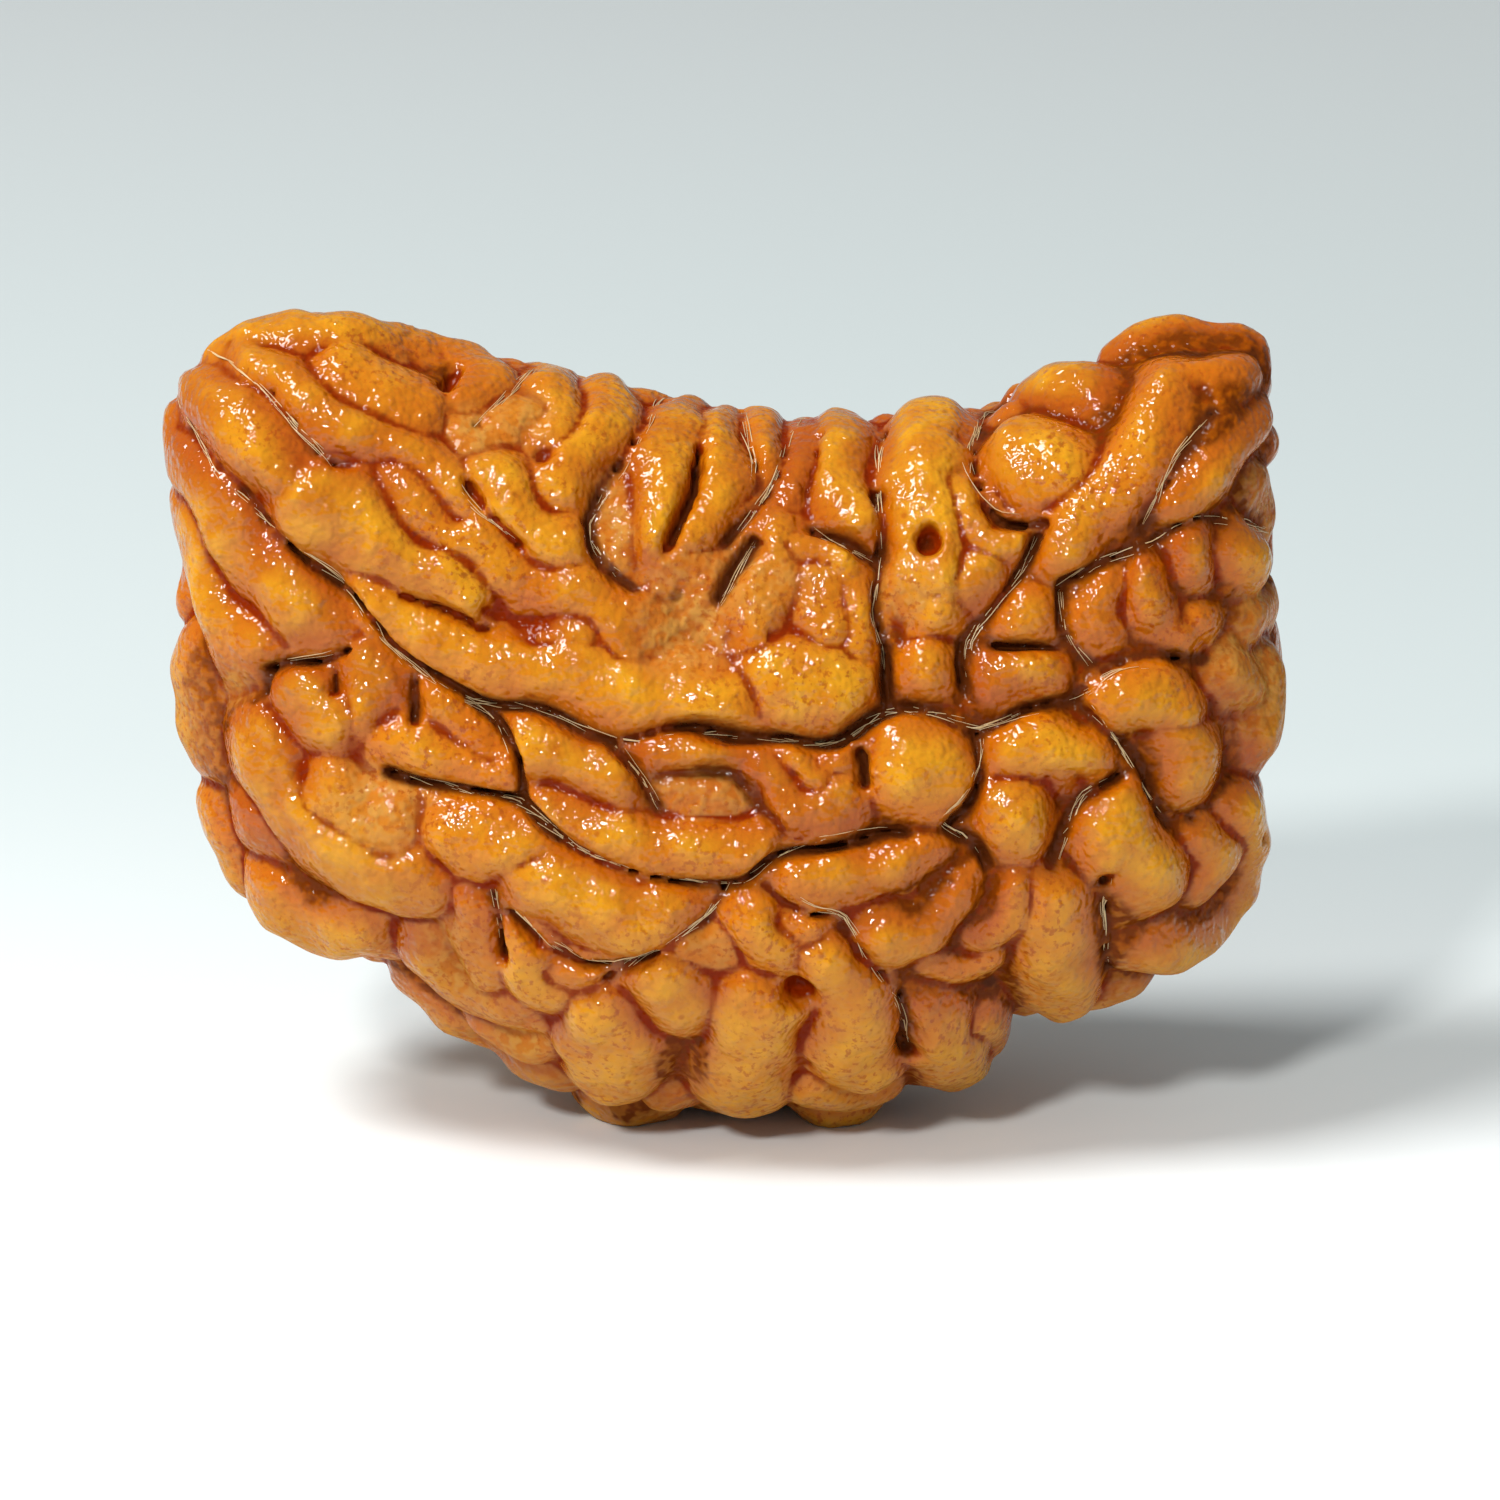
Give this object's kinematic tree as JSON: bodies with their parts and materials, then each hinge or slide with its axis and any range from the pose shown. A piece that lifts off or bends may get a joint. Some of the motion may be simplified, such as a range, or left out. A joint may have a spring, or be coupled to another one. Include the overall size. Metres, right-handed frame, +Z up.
{
  "type": "half-moon rudraksha seed",
  "caption": "Half-moon seed stone with deep ribs, knobs and fissures, standing on its convex edge.",
  "frame": {"origin": "the middle of the seed's box, on the surface it stands on", "axes": "+X along the seed from horn to horn, towards the pointed horn; -Y out of the shown face; +Z up"},
  "size_m": [0.03, 0.0144, 0.0224],
  "materials": {
    "seed_stone": "oiled, glossy on the crests and matte in the hollows"
  },
  "bodies": {
    "root": {"rudraksha_stone": "seed_stone"}
  },
  "joints": []
}
